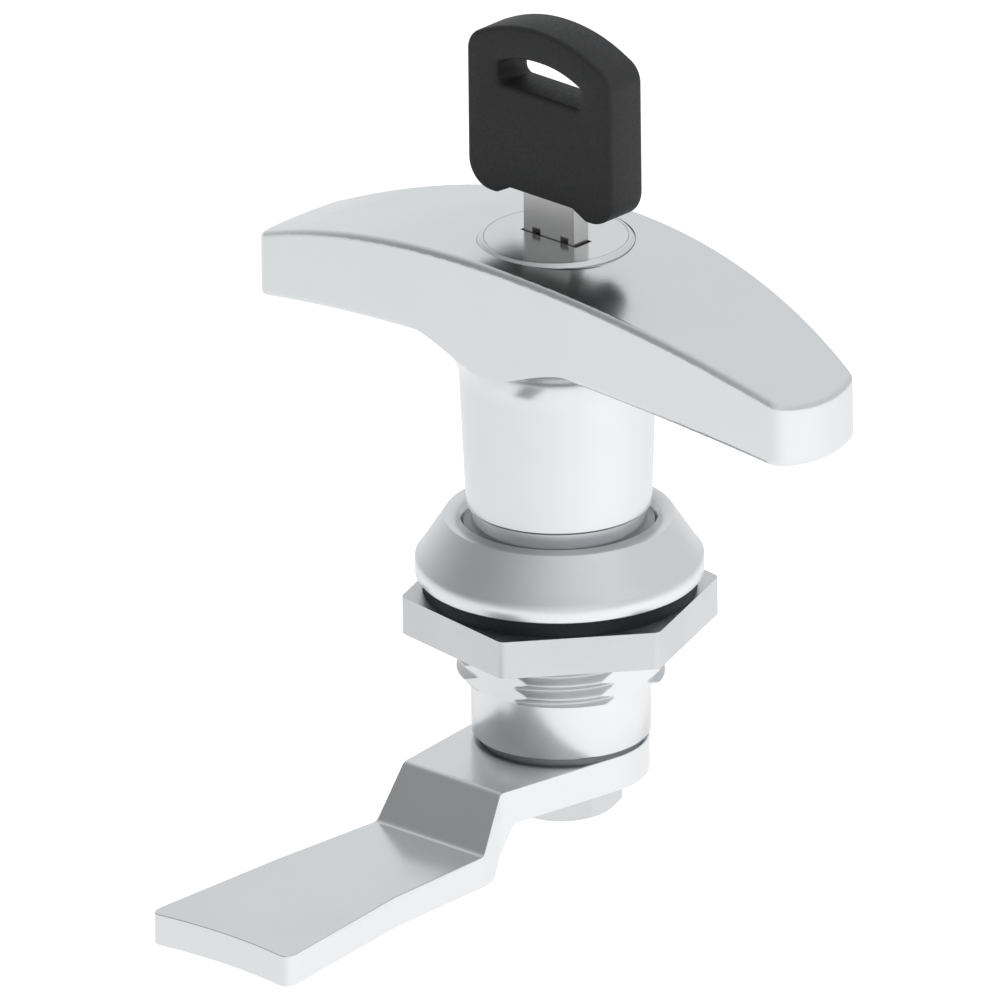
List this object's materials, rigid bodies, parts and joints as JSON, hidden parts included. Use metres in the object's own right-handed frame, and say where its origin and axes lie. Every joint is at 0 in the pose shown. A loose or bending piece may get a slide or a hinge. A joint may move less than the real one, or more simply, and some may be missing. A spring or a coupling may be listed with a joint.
{
  "type": "t-handle cam lock",
  "caption": "Keyed T-handle cam lock: arched grip on a round neck, conical flange, gasket, threaded barrel with flats, lock nut and a cranked cam.",
  "frame": {"origin": "on the turning axis, in the plane of the panel's front face, where the gasket seats", "axes": "+Z out of the panel along the turning axis, X along the grip, cam pointing along -Y at rest"},
  "size_m": [0.077, 0.0693, 0.0907],
  "materials": {
    "satin_chrome": "satin chrome plate",
    "zinc_plated_steel": "bright zinc plate",
    "wafer_brass": "stamped",
    "black_rubber": "moulded",
    "black_plastic": "fine grain"
  },
  "bodies": {
    "mounted_housing": {"housing": "satin_chrome", "panel_gasket": "black_rubber", "lock_nut": "zinc_plated_steel"},
    "turning_handle": {"t_handle": "satin_chrome", "shaft_o_ring": "black_rubber", "thrust_washer": "zinc_plated_steel", "cylinder_shell": "satin_chrome", "cylinder_pin": "zinc_plated_steel", "bolt_spring": "zinc_plated_steel", "stop_washer": "zinc_plated_steel", "cam": "zinc_plated_steel", "cam_screw": "zinc_plated_steel"},
    "lock_core": {"core": "satin_chrome", "core_clip": "zinc_plated_steel", "wafer_springs": "zinc_plated_steel"},
    "odd_wafers": {"wafer_1": "wafer_brass", "wafer_3": "wafer_brass", "wafer_5": "wafer_brass"},
    "even_wafers": {"wafer_2": "wafer_brass", "wafer_4": "wafer_brass", "wafer_6": "wafer_brass"},
    "key": {"key_blade": "zinc_plated_steel", "key_head": "black_plastic"},
    "bolt": {"locking_bolt": "zinc_plated_steel"}
  },
  "joints": [
    {"name": "handle_turn", "type": "hinge", "parent": "mounted_housing", "child": "turning_handle", "pos_m": [0, 0, 0], "axis": [0, 0, 1], "range_deg": [0, 90]},
    {"name": "key_turn", "type": "hinge", "parent": "turning_handle", "child": "lock_core", "pos_m": [0, 0, 0.03], "axis": [0, 0, 1], "range_deg": [0, 90]},
    {"name": "key_slide", "type": "slide", "parent": "lock_core", "child": "key", "axis": [0, 0, 1], "range_m": [0, 0.027]},
    {"name": "bolt_slide", "type": "slide", "parent": "turning_handle", "child": "bolt", "axis": [1, 0, 0], "range_m": [0, 0.0017], "deforming": ["bolt_spring"]},
    {"name": "odd_wafer_slide", "type": "slide", "parent": "lock_core", "child": "odd_wafers", "axis": [1, 0, 0], "range_m": [0, 0.0007]},
    {"name": "even_wafer_slide", "type": "slide", "parent": "lock_core", "child": "even_wafers", "axis": [-1, 0, 0], "range_m": [0, 0.0007]}
  ],
  "couplings": [
    {"joint": "bolt_slide", "follows": "key_turn", "m_per_rad": 0.00095492},
    {"joint": "odd_wafer_slide", "follows": "key_slide", "ratio": 0.025925},
    {"joint": "even_wafer_slide", "follows": "key_slide", "ratio": 0.025925}
  ]
}
